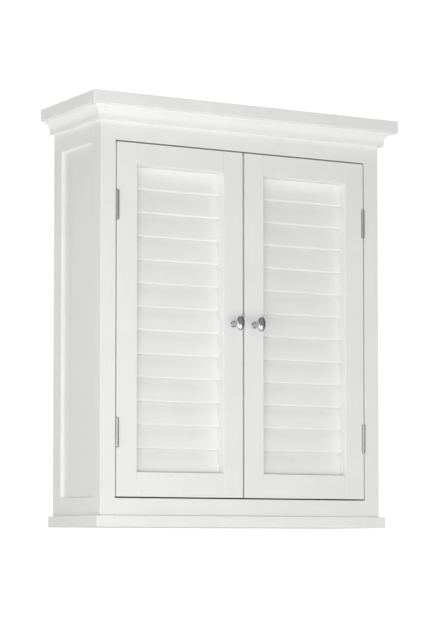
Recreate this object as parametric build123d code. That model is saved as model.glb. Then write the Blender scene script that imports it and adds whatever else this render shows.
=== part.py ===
from build123d import *
import os
from math import acos, atan2, cos, degrees, hypot, sin

# Hanging wall cabinet with two louvred doors, in millimetres.
# X runs to the right, the doors face -Y, the wall is the plane Y = 0 and Z is up.
# The origin is on the wall, midway between the two wall screws of the hanging rail.

# ---------------------------------------------------------------- driving dimensions
# case
case_width = 464.0            # over the posts
case_depth = 154.0            # wall to the face of the front posts
post_height = 576.0           # base board to cap board
post_width = 24.0             # along X, and the thickness of the side frames
front_post_depth = 24.0       # along Y
back_post_depth = 26.0
arris = 0.6                   # eased edge of every board
front_rail_thickness = 18.0
top_rail_height = 45.5        # front rails
bottom_rail_height = 24.5
side_top_rail_height = 46.5
side_bottom_rail_height = 25.5
side_panel_thickness = 12.0
side_panel_recess = 4.8       # behind the outer face of the side frame
panel_tongue = 5.0            # depth of the side panel in its grooves

# cap, cove moulding and base
cap_thickness = 18.0
cap_overhang_side = 22.0
cap_overhang_front = 24.0
cap_arris = 1.2
cove_projection = 15.0        # at the top, under the cap
cove_foot_projection = 7.0    # at the flat foot of the moulding
cove_height = 18.5
cove_lip = 1.5                # flat edge above the hollow
cove_foot_height = 3.5
cove_hollow = 2.4             # how far the hollow bows in from a straight slope
base_thickness = 16.0
base_overhang_side = 7.5
base_overhang_front = 6.0

# inside
floor_thickness = 12.0
batten_width = 12.0
back_panel_thickness = 3.0
back_panel_tongue = 5.5
hanging_rail_height = 60.0
lower_rail_height = 45.0
back_rail_thickness = 15.0
corner_block_size = 20.0
shelf_thickness = 12.0
shelf_pin_pitch = 32.0
shelf_pin_rows = 5            # rows of holes, with the shelf on the middle one
shelf_pin_inset = 12.0        # from the front and back posts to a pin
shelf_pin_radius = 2.45
shelf_pin_depth = 7.5
shelf_peg_radius = 3.0
shelf_peg_length = 9.0
shelf_collar_radius = 4.0
shelf_collar_thickness = 1.2

# doors
door_thickness = 24.0
door_side_gap = 2.0
door_end_gap = 2.0            # above and below a door
door_middle_gap = 3.0
stile_width = 32.0
door_top_rail_height = 31.0
door_bottom_rail_height = 35.0
door_arris = 0.8
tenon_length = 8.0
tenon_thickness = 8.0
tenon_shoulder = 5.0
slat_count = 13
slat_thickness = 4.0
slat_recess = 12.5            # door face to the lower edge of a slat
slat_overlap = 4.0            # how far a slat reaches up behind the next one
slat_back_margin = 0.5        # slats stay this far inside the back of the door
slat_housing = 4.0            # depth of the slots in the stiles
slat_nose_radius = 1.6

# hinges
hinge_height = 40.0
hinge_end_distance = 70.0     # door end to hinge end
leaf_thickness = 1.0
leaf_depth = 18.0             # hinge axis to the back edge of a leaf
barrel_radius = 2.4
hinge_pin_radius = 1.1
hinge_pin_head_radius = 1.7
hinge_pin_head_height = 1.2
hinge_axis_proud = 0.4        # hinge axis in front of the door face
leaf_screw_spread = 22.0
leaf_screw_setback = 12.5     # hinge axis to the screws

# knobs
knob_height = 251.0           # above the bottom of the door
knob_head_width = 12.5
knob_head_height = 22.0
knob_head_thickness = 6.5
knob_head_round = 2.6
knob_reach = 24.8             # door face to the front of the head
knob_foot_radius = 5.0
knob_foot_thickness = 1.6
knob_neck_radius = 2.9
knob_neck_base_radius = 3.9
knob_screw_radius = 1.95
knob_screw_grip = 7.0         # thread inside the knob
knob_screw_head_radius = 4.0
knob_screw_head_height = 2.4

# magnetic catch
catch_block_width = 64.0
catch_block_depth = 26.0
catch_block_height = 25.0
catch_width = 60.0
catch_depth = 15.0
catch_height = 14.0
catch_screw_spread = 52.0
magnet_width = 14.0
magnet_height = 8.0
magnet_depth = 7.0
magnet_offset = 14.0          # cabinet centre line to the middle of a magnet
magnet_gap = 0.3              # magnet to strike plate
magnet_proud = 0.3
strike_width = 20.0
strike_height = 10.0
strike_thickness = 1.2

# fasteners
dowel_radius = 3.0
dowel_length = 20.0
cam_radius = 7.4
cam_depth = 12.5
cam_distance = 24.0           # rail end to the middle of the cam
cam_bolt_thread_radius = 3.0
cam_bolt_thread_length = 10.0
cam_bolt_neck_radius = 1.8
cam_bolt_head_radius = 3.0
cam_bolt_head_length = 2.5
base_screw_length = 40.0
block_screw_length = 30.0
small_screw_length = 12.0
panel_pin_radius = 0.7
panel_pin_length = 12.0
panel_pin_head_radius = 1.6
panel_pin_head_thickness = 0.6
wall_screw_spread = 300.0
wall_screw_hole_radius = 2.75
wall_screw_access_radius = 5.5

# clearances
slip = 0.1                    # around tongues, tenons, slats and fixed inserts
screw_fit = 0.05              # around screws and dowels
pin_fit = 0.05                # hinge pin in a turning knuckle
seat_gap = 0.2                # shelf to peg, and knuckle to knuckle
board_gap = 0.5               # loose boards to the frame around them
turning_gap = 0.3             # door to the barrel of its hinge

# ---------------------------------------------------------------- levels worked out from them
half_case = case_width / 2
half_opening = half_case - post_width
face = -case_depth
front_post_back = face + front_post_depth
front_rail_back = face + front_rail_thickness
back_post_front = -back_post_depth
case_top = hanging_rail_height / 2
case_bottom = case_top - post_height
opening_top = case_top - top_rail_height
opening_bottom = case_bottom + bottom_rail_height
side_opening_top = case_top - side_top_rail_height
side_opening_bottom = case_bottom + side_bottom_rail_height
floor_top = opening_bottom
floor_underside = floor_top - floor_thickness

panel_outside = half_case - side_panel_recess
panel_inside = panel_outside - side_panel_thickness
back_panel_back = -back_rail_thickness
back_panel_front = back_panel_back - back_panel_thickness

door_outer = half_opening - door_side_gap
door_inner = door_middle_gap / 2
door_top = opening_top - door_end_gap
door_bottom = opening_bottom + door_end_gap
door_back = face + door_thickness
louvre_outer = door_outer - stile_width
louvre_inner = door_inner + stile_width
louvre_top = door_top - door_top_rail_height
louvre_bottom = door_bottom + door_bottom_rail_height

hinge_x = half_opening - barrel_radius - seat_gap
hinge_y = face - hinge_axis_proud
hinge_levels = [door_bottom + hinge_end_distance + hinge_height / 2,
                door_top - hinge_end_distance - hinge_height / 2]
leaf_back = hinge_y + leaf_depth
knob_x = door_inner + stile_width / 2
knob_z = door_bottom + knob_height

shelf_pin_middle = (floor_top + case_top) / 2
shelf_pin_ys = [front_post_back + shelf_pin_inset, back_post_front - shelf_pin_inset]
shelf_underside = shelf_pin_middle + shelf_peg_radius + seat_gap

strike_back = door_back + strike_thickness
magnet_face = strike_back + magnet_gap
catch_front = magnet_face + magnet_proud
catch_z = opening_top - catch_height / 2

LOW = (Align.CENTER, Align.CENTER, Align.MIN)
SIDES = {"left": -1, "right": 1}


# ---------------------------------------------------------------- basic shapes
def block(xs, ys, zs):
    """Box between the two ends given for each direction, in any order."""
    spans = (xs, ys, zs)
    size = [abs(b - a) for a, b in spans]
    middle = [(a + b) / 2 for a, b in spans]
    return Pos(*middle) * Box(*size)


def board(xs, ys, zs, easing=arris):
    """Sawn board with all its edges eased."""
    plain = block(xs, ys, zs)
    return fillet(plain.edges(), easing)


def pointing(start, direction):
    """Plane at start whose Z runs along direction."""
    return Plane(origin=start, z_dir=direction)


def rod(radius, start, direction, length):
    """Round bar from start along direction."""
    return pointing(start, direction) * Cylinder(radius, length, align=LOW)


def joined(shapes):
    """One shape from a list of solids that touch or overlap."""
    first = shapes[0]
    return first.fuse(*shapes[1:]) if len(shapes) > 1 else first


def cut(shape, tools):
    """Shape with every tool of a list taken out."""
    return shape.cut(*tools) if tools else shape


# ---------------------------------------------------------------- fasteners
class Screw:
    """Countersunk wood screw with a cross recess."""

    def __init__(self, shank_radius, head_radius, head_depth, length):
        self.shank_radius = shank_radius
        self.head_radius = head_radius
        self.head_depth = head_depth
        self.length = length
        self.tip = 2 * shank_radius

    def outline(self, grow):
        """Head, shank and tip along +Z, made larger all round by grow."""
        shank_length = self.length - self.head_depth - self.tip
        head = Cone(self.head_radius + grow, self.shank_radius + grow, self.head_depth, align=LOW)
        shank = Cylinder(self.shank_radius + grow, shank_length, align=LOW)
        tip = Cone(self.shank_radius + grow, 0.2 + grow, self.tip + grow, align=LOW)
        shank = Pos(0, 0, self.head_depth) * shank
        tip = Pos(0, 0, self.head_depth + shank_length) * tip
        return joined([head, shank, tip])

    def at(self, start, direction):
        """The screw with the face of its head at start."""
        wing = self.head_radius * 1.1
        slot = self.head_radius * 0.28
        depth = self.head_depth * 1.2
        recess = [Box(wing, slot, depth), Box(slot, wing, depth)]
        return pointing(start, direction) * cut(self.outline(0), recess)

    def bore(self, start, direction):
        """The countersunk hole that the screw sits in."""
        mouth = Cylinder(self.head_radius + screw_fit, 1, align=(Align.CENTER, Align.CENTER, Align.MAX))
        return pointing(start, direction) * joined([self.outline(screw_fit), mouth])


base_screw = Screw(2.0, 4.0, 2.4, base_screw_length)
block_screw = Screw(1.75, 3.5, 2.1, block_screw_length)
small_screw = Screw(1.5, 2.7, 1.3, small_screw_length)


def both_sides(places):
    """Each (x, y, z) on the right, and its mirror on the left."""
    return [(side * x, y, z) for side in SIDES.values() for x, y, z in places]


def dowel_places():
    """Middle point and direction of every dowel of the case."""
    frame_x = half_case - post_width / 2
    rail_y = (face + front_rail_back) / 2
    back_y = -back_rail_thickness / 2
    high = [case_top - top_rail_height * 0.25, case_top - top_rail_height * 0.70]
    low = [case_bottom + (bottom_rail_height - panel_tongue) * 0.45]
    hang = [case_top - hanging_rail_height * 0.25, case_top - hanging_rail_height * 0.75]
    lower = [case_bottom + lower_rail_height * 0.28, case_bottom + lower_rail_height * 0.72]
    along_y = [(frame_x, y, z) for y in (front_post_back, back_post_front) for z in high + low]
    along_x = [(half_opening, back_y, z) for z in hang + lower]
    along_x.append((half_opening, rail_y, high[0]))
    return ([(place, (0, 1, 0)) for place in both_sides(along_y)]
            + [(place, (1, 0, 0)) for place in both_sides(along_x)])


def dowel_bars(radius, length):
    """Bars of the given size centred on every dowel place."""
    bars = []
    for place, direction in dowel_places():
        start = Vector(*place) - Vector(*direction) * (length / 2)
        bars.append(rod(radius, start, direction, length))
    return bars


def cam_places():
    """Middle of each front rail joint at the face of the post, as (side, z)."""
    high = case_top - top_rail_height * 0.68
    low = case_bottom + bottom_rail_height / 2
    return [(side, z) for side in SIDES.values() for z in (high, low)]


def cam_bolt(side, z, grow):
    """Bolt screwed into the post, with its head reaching into the cam."""
    y = (face + front_rail_back) / 2
    inward = (-side, 0, 0)
    root = (side * (half_opening + cam_bolt_thread_length), y, z)
    neck_length = cam_distance + cam_bolt_head_length / 2
    thread = rod(cam_bolt_thread_radius + grow, root, inward, cam_bolt_thread_length)
    neck = rod(cam_bolt_neck_radius, (side * half_opening, y, z), inward, neck_length)
    head_x = side * (half_opening - neck_length)
    head = rod(cam_bolt_head_radius, (head_x, y, z), inward, cam_bolt_head_length)
    return joined([thread, neck, head])


def cam_lock(side, z):
    """Round cam that grips the head of the bolt, with a cross recess on its face."""
    x = side * (half_opening - cam_distance)
    body = rod(cam_radius, (x, front_rail_back, z), (0, -1, 0), cam_depth)
    y = (face + front_rail_back) / 2
    reach = cam_radius + 1.5 * cam_bolt_head_length + slip
    way = rod(cam_bolt_head_radius + slip, (x + side * cam_radius, y, z), (-side, 0, 0), reach)
    wings = [(8.0, 1.4), (1.4, 8.0)]
    recess = [Pos(x, front_rail_back, z) * Box(wide, 3.0, tall) for wide, tall in wings]
    return cut(body, [way] + recess)


def cam_bores():
    """Holes in the posts and front rails for the cams and their bolts."""
    y = (face + front_rail_back) / 2
    bores = []
    for side, z in cam_places():
        x = side * (half_opening - cam_distance)
        root = (side * (half_opening + cam_bolt_thread_length), y, z)
        length = cam_bolt_thread_length + cam_distance
        bores.append(rod(cam_radius + slip, (x, front_rail_back, z), (0, -1, 0), cam_depth + slip))
        bores.append(rod(cam_bolt_head_radius + slip, root, (-side, 0, 0), length))
    return bores


def base_screw_places():
    """Screw heads in the underside of the base board, under each post."""
    x = half_case - post_width / 3
    ys = (face + front_post_depth * 0.42, -back_post_depth / 2)
    return [((px, py, pz), (0, 0, 1)) for px, py, pz in
            both_sides([(x, y, case_bottom - base_thickness) for y in ys])]


def block_places():
    """Centres of the corner blocks under the cap."""
    half = corner_block_size / 2
    ys = (front_rail_back + half, back_panel_front - half)
    return both_sides([(half_opening - half, y, case_top - half) for y in ys])


def block_screw_places():
    """Screws up through the corner blocks into the cap."""
    return [((x, y, z - corner_block_size / 2), (0, 0, 1)) for x, y, z in block_places()]


def frame_leaf_screw_places(side):
    """Screws through the hinge leaves into a front post."""
    x = side * (half_opening - leaf_thickness)
    y = hinge_y + leaf_screw_setback
    half = leaf_screw_spread / 2
    return [((x, y, z + dz), (side, 0, 0)) for z in hinge_levels for dz in (-half, half)]


def door_leaf_screw_places(side):
    """Screws through the hinge leaves into the edge of a door."""
    x = side * (hinge_x - barrel_radius + leaf_thickness)
    y = hinge_y + leaf_screw_setback
    half = leaf_screw_spread / 2
    return [((x, y, z + dz), (-side, 0, 0)) for z in hinge_levels for dz in (-half, half)]


def catch_screw_places():
    """Screws up through the catch housing into its block."""
    y = catch_front + catch_depth / 2
    half = catch_screw_spread / 2
    return [((x, y, opening_top - catch_height), (0, 0, 1)) for x in (-half, half)]


def strike_screw_place(side):
    """Screw through the middle of a strike plate into the door."""
    return (side * magnet_offset, strike_back, catch_z - magnet_gap), (0, -1, 0)


def panel_pin_places():
    """Heads of the pins that hold the back panel to its two rails."""
    xs = [half_opening * share for share in (0.12, 0.42, 0.84)]
    zs = (case_top - hanging_rail_height * 0.2, floor_top + lower_rail_height * 0.25)
    return both_sides([(x, back_panel_front, z) for x in xs for z in zs])


def panel_pin(place):
    """Small flat-headed pin driven towards the wall."""
    x, y, z = place
    head_start = (x, y - panel_pin_head_thickness, z)
    head = rod(panel_pin_head_radius, head_start, (0, 1, 0), panel_pin_head_thickness)
    shank = rod(panel_pin_radius, place, (0, 1, 0), panel_pin_length)
    return joined([head, shank])


def panel_pin_bores():
    """Holes of the back panel pins."""
    depth = panel_pin_length + slip
    return [rod(panel_pin_radius + screw_fit, place, (0, 1, 0), depth) for place in panel_pin_places()]


def shelf_pin_holes(side):
    """Rows of holes for the shelf pins in one side panel."""
    middle_row = (shelf_pin_rows - 1) / 2
    start_x = side * panel_inside
    depth = shelf_pin_depth + slip
    holes = []
    for row in range(shelf_pin_rows):
        z = shelf_pin_middle + (row - middle_row) * shelf_pin_pitch
        for y in shelf_pin_ys:
            holes.append(rod(shelf_pin_radius + screw_fit, (start_x, y, z), (side, 0, 0), depth))
    return holes


# ---------------------------------------------------------------- case
def side_panel_space(side):
    """Groove space around a side panel, all round."""
    grow = slip
    reach = panel_tongue
    return block((side * (panel_inside - grow), side * (panel_outside + grow)),
                 (front_post_back - reach, back_post_front + reach),
                 (side_opening_bottom - reach, side_opening_top + reach))


def back_panel_space():
    """Grooves of the back panel in the back posts."""
    reach = back_panel_tongue + board_gap
    return block((-half_opening - reach, half_opening + reach),
                 (back_panel_front - slip, back_panel_back + slip),
                 (case_bottom, case_top))


def post(side, ys, bores):
    """Post of the case, grooved for the panels and bored for its fasteners."""
    plain = board((side * half_opening, side * half_case), ys, (case_bottom, case_top))
    return cut(plain, [side_panel_space(side), back_panel_space()] + bores)


def side_rail(side, zs, bores):
    """Rail between the front and back post of one side."""
    plain = board((side * half_opening, side * half_case), (front_post_back, back_post_front), zs)
    return cut(plain, [side_panel_space(side)] + bores)


def side_panel(side):
    """Recessed side panel with the shelf pin holes inside."""
    reach = panel_tongue - board_gap
    plain = board((side * panel_inside, side * panel_outside),
                  (front_post_back - reach, back_post_front + reach),
                  (side_opening_bottom - reach, side_opening_top + reach))
    return cut(plain, shelf_pin_holes(side))


def front_rail(zs, bores):
    """Rail between the two front posts."""
    plain = board((-half_opening, half_opening), (face, front_rail_back), zs)
    return cut(plain, bores)


def top_cap(bores):
    """Overhanging cap board, flush with the wall."""
    half = half_case + cap_overhang_side
    plain = board((-half, half), (face - cap_overhang_front, 0), (case_top, case_top + cap_thickness),
                  cap_arris)
    return cut(plain, bores)


def base_board(bores):
    """Board under the posts, flush with the wall."""
    half = half_case + base_overhang_side
    plain = board((-half, half), (face - base_overhang_front, 0),
                  (case_bottom - base_thickness, case_bottom))
    return cut(plain, bores)


def floor_board():
    """Cabinet floor, level with the top of the bottom rail."""
    half = half_opening - board_gap
    return board((-half, half), (front_rail_back + board_gap, back_panel_front - board_gap),
                 (floor_underside, floor_top))


def floor_battens():
    """Strips on the base board that carry the floor."""
    outer = half_opening - board_gap
    ys = (front_rail_back + board_gap, back_panel_front - board_gap)
    zs = (case_bottom, floor_underside)
    return [board((side * (outer - batten_width), side * outer), ys, zs) for side in SIDES.values()]


def back_panel():
    """Thin panel in front of the back rails, with clear holes at the wall screws."""
    half = half_opening + back_panel_tongue
    plain = block((-half, half), (back_panel_front, back_panel_back),
                  (case_bottom + board_gap, case_top - board_gap))
    access = [rod(wall_screw_access_radius, (x, back_panel_front, 0), (0, 1, 0), back_panel_thickness)
              for x in (-wall_screw_spread / 2, wall_screw_spread / 2)]
    return cut(plain, access + panel_pin_bores())


def back_rail(zs, holes):
    """Rail between the back posts, against the wall."""
    plain = board((-half_opening, half_opening), (-back_rail_thickness, 0), zs)
    return cut(plain, holes + panel_pin_bores())


def wall_screw_holes():
    """Holes of the hanging rail for the two wall screws."""
    start_y = -back_rail_thickness
    return [rod(wall_screw_hole_radius, (x, start_y, 0), (0, 1, 0), back_rail_thickness)
            for x in (-wall_screw_spread / 2, wall_screw_spread / 2)]


def corner_blocks():
    """Glued and screwed blocks in the corners under the cap."""
    half = corner_block_size / 2
    blocks = [board((x - half, x + half), (y - half, y + half), (z - half, z + half))
              for x, y, z in block_places()]
    bores = [block_screw.bore(*place) for place in block_screw_places()]
    return [cut(wood, [bore]) for wood, bore in zip(blocks, bores)]


def shelf_pins():
    """Four pegs with collars in the middle row of holes."""
    pins = []
    for side in SIDES.values():
        for y in shelf_pin_ys:
            wall = (side * panel_inside, y, shelf_pin_middle)
            pins.append(joined([rod(shelf_pin_radius, wall, (side, 0, 0), shelf_pin_depth),
                                rod(shelf_collar_radius, wall, (-side, 0, 0), shelf_collar_thickness),
                                rod(shelf_peg_radius, wall, (-side, 0, 0), shelf_peg_length)]))
    return pins


def shelf():
    """Loose shelf, notched round the back posts."""
    half = panel_inside - shelf_collar_thickness - 2 * board_gap
    ys = (max(front_post_back, door_back) + 3 * board_gap, back_panel_front - board_gap)
    zs = (shelf_underside, shelf_underside + shelf_thickness)
    notches = [block((side * (half_opening - 2 * board_gap), side * half_case),
                     (back_post_front - 2 * board_gap, 0), zs) for side in SIDES.values()]
    plain = cut(block((-half, half), ys, zs), notches)
    return fillet(plain.edges(), arris)


# ---------------------------------------------------------------- cove moulding
def cove_profile():
    """Section of the moulding as (distance from the case, height), with its hollow as an arc."""
    top = case_top
    foot = top - cove_height
    hollow_top = (cove_projection, top - cove_lip)
    hollow_foot = (cove_foot_projection, foot + cove_foot_height)
    chord = hypot(hollow_top[0] - hollow_foot[0], hollow_top[1] - hollow_foot[1])
    middle_out = (hollow_top[0] + hollow_foot[0]) / 2
    middle_up = (hollow_top[1] + hollow_foot[1]) / 2
    lean_out = (hollow_top[1] - hollow_foot[1]) / chord
    lean_up = (hollow_top[0] - hollow_foot[0]) / chord
    bowed = (middle_out - cove_hollow * lean_out, middle_up + cove_hollow * lean_up)
    corners = [hollow_foot, (cove_foot_projection, foot), (0, foot), (0, top),
               (cove_projection, top), hollow_top]
    edges = [Line(a, b) for a, b in zip(corners, corners[1:])]
    edges.append(ThreePointArc(hollow_top, bowed, hollow_foot))
    return make_face(edges)


def cove_run(outline, origin, outward, length):
    """Moulding run out from origin and cut to the plan outline, mitres included."""
    along = Vector(*outward).cross(Vector(0, 0, 1))
    section = Plane(origin=origin, x_dir=outward, z_dir=along) * cove_profile()
    bar = extrude(section, amount=length, dir=along)
    plan = make_face(Polyline(*outline, close=True))
    slab = extrude(Pos(0, 0, case_top - cove_height) * plan, amount=cove_height, dir=(0, 0, 1))
    return bar & slab


def cove_front():
    """Front length, mitred at both ends."""
    out = cove_projection
    wide = half_case + out
    outline = [(-half_case, face), (half_case, face), (wide, face - out), (-wide, face - out)]
    return cove_run(outline, (wide, face, 0), (0, -1, 0), 2 * wide)


def cove_side(side):
    """Side length, mitred at the front and square at the wall."""
    out = cove_projection
    wide = half_case + out
    outline = [(side * half_case, 0), (side * half_case, face), (side * wide, face - out),
               (side * wide, 0)]
    start_y = 0 if side > 0 else face - out
    return cove_run(outline, (side * half_case, start_y, 0), (side, 0, 0), case_depth + out)


# ---------------------------------------------------------------- catch
def catch_block():
    """Wooden block behind the front top rail that carries the catch."""
    half = catch_block_width / 2
    plain = board((-half, half), (front_rail_back, front_rail_back + catch_block_depth),
                  (opening_top, opening_top + catch_block_height))
    return cut(plain, [small_screw.bore(*place) for place in catch_screw_places()])


def magnet_space(side, grow):
    """Room of one magnet, open towards the door."""
    half_width = magnet_width / 2 + grow
    half_height = magnet_height / 2 + grow
    x = side * magnet_offset
    return block((x - half_width, x + half_width), (magnet_face, magnet_face + magnet_depth + grow),
                 (catch_z - half_height, catch_z + half_height))


def catch_housing():
    """Plastic body of the double magnetic catch."""
    half = catch_width / 2
    plain = board((-half, half), (catch_front, catch_front + catch_depth),
                  (opening_top - catch_height, opening_top))
    pockets = [magnet_space(side, slip) for side in SIDES.values()]
    return cut(plain, pockets + [small_screw.bore(*place) for place in catch_screw_places()])


# ---------------------------------------------------------------- hinges
def knuckle_levels(level):
    """Ends of the three knuckles of one hinge, from the bottom up."""
    low = level - hinge_height / 2
    step = hinge_height / 3
    return [(low + i * step + seat_gap / 2, low + (i + 1) * step - seat_gap / 2) for i in range(3)]


def frame_leaf(side, level):
    """Leaf on the post, with the lower and upper knuckle."""
    lower, middle, upper = knuckle_levels(level)
    plate = block((side * (half_opening - leaf_thickness), side * half_opening), (hinge_y, leaf_back),
                  (lower[0], upper[1]))
    knuckles = [rod(barrel_radius, (side * hinge_x, hinge_y, low), (0, 0, 1), high - low)
                for low, high in (lower, upper)]
    relief = rod(barrel_radius + turning_gap, (side * hinge_x, hinge_y, lower[1]), (0, 0, 1),
                 upper[0] - lower[1])
    bore = rod(hinge_pin_radius + screw_fit / 2, (side * hinge_x, hinge_y, lower[0]), (0, 0, 1), hinge_height)
    outside = block((side * half_opening, side * half_case), (hinge_y - barrel_radius, leaf_back),
                    (lower[0], upper[1]))
    screws = [small_screw.bore(*place) for place in frame_leaf_screw_places(side)]
    return cut(joined([plate] + knuckles), [relief, bore, outside] + screws)


def door_leaf(side, level):
    """Leaf on the door, with the middle knuckle."""
    lower, middle, upper = knuckle_levels(level)
    inner = hinge_x - barrel_radius
    plate = block((side * inner, side * (inner + leaf_thickness)), (hinge_y, leaf_back),
                  (lower[0], upper[1]))
    knuckle = rod(barrel_radius, (side * hinge_x, hinge_y, middle[0]), (0, 0, 1), middle[1] - middle[0])
    reliefs = [rod(barrel_radius + turning_gap, (side * hinge_x, hinge_y, low), (0, 0, 1), high - low)
               for low, high in ((lower[0], middle[0]), (middle[1], upper[1]))]
    bore = rod(hinge_pin_radius + pin_fit, (side * hinge_x, hinge_y, lower[0]), (0, 0, 1), hinge_height)
    screws = [small_screw.bore(*place) for place in door_leaf_screw_places(side)]
    return cut(joined([cut(plate, reliefs), knuckle]), [bore] + screws)


def hinge_pin(side, level):
    """Pin through the three knuckles, with a small head at each end."""
    low = level - hinge_height / 2
    x = side * hinge_x
    shank = rod(hinge_pin_radius, (x, hinge_y, low), (0, 0, 1), hinge_height)
    heads = [rod(hinge_pin_head_radius, (x, hinge_y, low), (0, 0, -1), hinge_pin_head_height),
             rod(hinge_pin_head_radius, (x, hinge_y, low + hinge_height), (0, 0, 1), hinge_pin_head_height)]
    return joined([shank] + heads)


def hinge_room(side, level):
    """Cut in the edge of the door for a leaf and for the barrel."""
    half = hinge_height / 2 + seat_gap
    reach = barrel_radius + turning_gap
    pin_room = hinge_pin_head_height + seat_gap
    pocket = block((side * (hinge_x - barrel_radius), side * half_case), (hinge_y - reach, leaf_back + slip),
                   (level - half, level + half))
    barrel = rod(reach, (side * hinge_x, hinge_y, level - half - pin_room), (0, 0, 1),
                 2 * (half + pin_room))
    return [pocket, barrel]


# ---------------------------------------------------------------- doors
slat_pitch = (louvre_top - louvre_bottom) / slat_count
slat_run = slat_pitch + slat_overlap
slat_room = door_thickness - slat_back_margin - slat_recess
slat_tilt = acos(slat_thickness / hypot(slat_room, slat_run)) - atan2(slat_run, slat_room)
slat_drop = slat_thickness * sin(slat_tilt)


def slat_places():
    """Lower front edge level and width of every slat, from the bottom up."""
    places = []
    for i in range(slat_count):
        level = louvre_bottom + i * slat_pitch + slat_drop + slip
        reach = slat_run if i < slat_count - 1 else slat_pitch - 2 * slip
        places.append((level, (reach - slat_drop) / cos(slat_tilt)))
    return places


def slat(side, level, width, grow):
    """Tilted slat between the stiles, with a rounded lower front edge."""
    inner = side * (louvre_inner - slat_housing + slip - grow)
    outer = side * (louvre_outer + slat_housing - slip + grow)
    flat = block((inner, outer), (-grow, slat_thickness + grow), (-grow, width + grow))
    if grow == 0:
        nose = flat.edges().filter_by(Axis.X).sort_by(Axis.Z)[:2].sort_by(Axis.Y)[0]
        flat = fillet(nose, slat_nose_radius)
    turned = Rot(-degrees(slat_tilt), 0, 0) * flat
    return Pos(0, face + slat_recess, level) * turned


def slats(side):
    """All slats of one door."""
    return [slat(side, level, width, 0) for level, width in slat_places()]


def slat_slots(side):
    """Room for the slats in the stiles."""
    return [slat(side, level, width, slip) for level, width in slat_places()]


def door_rail_levels():
    """Ends of the bottom and the top rail of a door."""
    return [(door_bottom, louvre_bottom), (louvre_top, door_top)]


def tenons(side, zs, grow):
    """Stub tenons at both ends of a door rail."""
    middle_y = face + door_thickness / 2
    half = tenon_thickness / 2 + grow
    reach = tenon_length + 5 * grow
    levels = (zs[0] + tenon_shoulder - grow, zs[1] - tenon_shoulder + grow)
    spans = [(louvre_inner, louvre_inner - reach), (louvre_outer, louvre_outer + reach)]
    return [block((side * a, side * b), (middle_y - half, middle_y + half), levels) for a, b in spans]


def stile(side, xs, bores):
    """Upright of a door, with slots for the slats and mortises for the rails."""
    plain = board((side * xs[0], side * xs[1]), (face, door_back), (door_bottom, door_top), door_arris)
    mortises = [space for zs in door_rail_levels() for space in tenons(side, zs, slip)]
    return cut(plain, slat_slots(side) + mortises + bores)


def hinge_stile(side):
    """Upright on the hinge side."""
    rooms = [room for level in hinge_levels for room in hinge_room(side, level)]
    bores = [small_screw.bore(*place) for place in door_leaf_screw_places(side)]
    return stile(side, (louvre_outer, door_outer), rooms + bores)


def knob_screw_hole(side):
    """Hole through the meeting stile for the knob screw."""
    return rod(knob_screw_radius + slip, (side * knob_x, door_back, knob_z), (0, -1, 0), door_thickness)


def meeting_stile(side):
    """Upright on the opening side, with the knob and the strike plate."""
    bores = [knob_screw_hole(side), small_screw.bore(*strike_screw_place(side))]
    return stile(side, (door_inner, louvre_inner), bores)


def door_rail(side, zs):
    """Cross rail of a door with its stub tenons."""
    plain = board((side * louvre_inner, side * louvre_outer), (face, door_back), zs, door_arris)
    return joined([plain] + tenons(side, zs, 0))


def strike_plate(side):
    """Steel plate that the magnet holds."""
    x = side * magnet_offset
    half = strike_width / 2
    top = catch_z - magnet_gap + strike_height / 2
    plate = block((x - half, x + half), (door_back, strike_back), (top - strike_height, top))
    plate = fillet(plate.edges().filter_by(Axis.Y), 1.5)
    return cut(plate, [small_screw.bore(*strike_screw_place(side))])


# ---------------------------------------------------------------- knobs
def knob(side):
    """Upright oval head on a waisted neck with a round foot."""
    x = side * knob_x
    start = (x, face, knob_z)
    forward = (0, -1, 0)
    neck_end = knob_reach - knob_head_thickness / 2
    foot = rod(knob_foot_radius, start, forward, knob_foot_thickness)
    foot = fillet(foot.edges().sort_by(Axis.Y)[0], knob_foot_thickness / 2)
    taper = pointing(start, forward) * Cone(knob_neck_base_radius, knob_neck_radius,
                                            knob_screw_grip + 2, align=LOW)
    neck = rod(knob_neck_radius, start, forward, neck_end)
    plane = Plane(origin=(x, face - knob_reach, knob_z), x_dir=(1, 0, 0), z_dir=(0, 1, 0))
    oval = plane * Ellipse(knob_head_width / 2, knob_head_height / 2)
    head = extrude(oval, amount=knob_head_thickness, dir=(0, 1, 0))
    head = fillet(head.edges(), knob_head_round)
    bore = rod(knob_screw_radius + screw_fit, start, forward, knob_screw_grip + 4 * slip)
    return cut(joined([foot, taper, neck, head]), [bore])


def knob_screw(side):
    """Machine screw from the back of the door into the knob."""
    x = side * knob_x
    shank_length = door_thickness + knob_screw_grip
    shank = rod(knob_screw_radius, (x, door_back, knob_z), (0, -1, 0), shank_length)
    head = rod(knob_screw_head_radius, (x, door_back, knob_z), (0, 1, 0), knob_screw_head_height)
    head = fillet(head.edges().sort_by(Axis.Y)[-1], knob_screw_head_height / 3)
    top_y = door_back + knob_screw_head_height
    wings = [(5.0, 1.1), (1.1, 5.0)]
    recess = [Pos(x, top_y, knob_z) * Box(wide, 2.4, tall) for wide, tall in wings]
    return cut(joined([shank, head]), recess)


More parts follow.
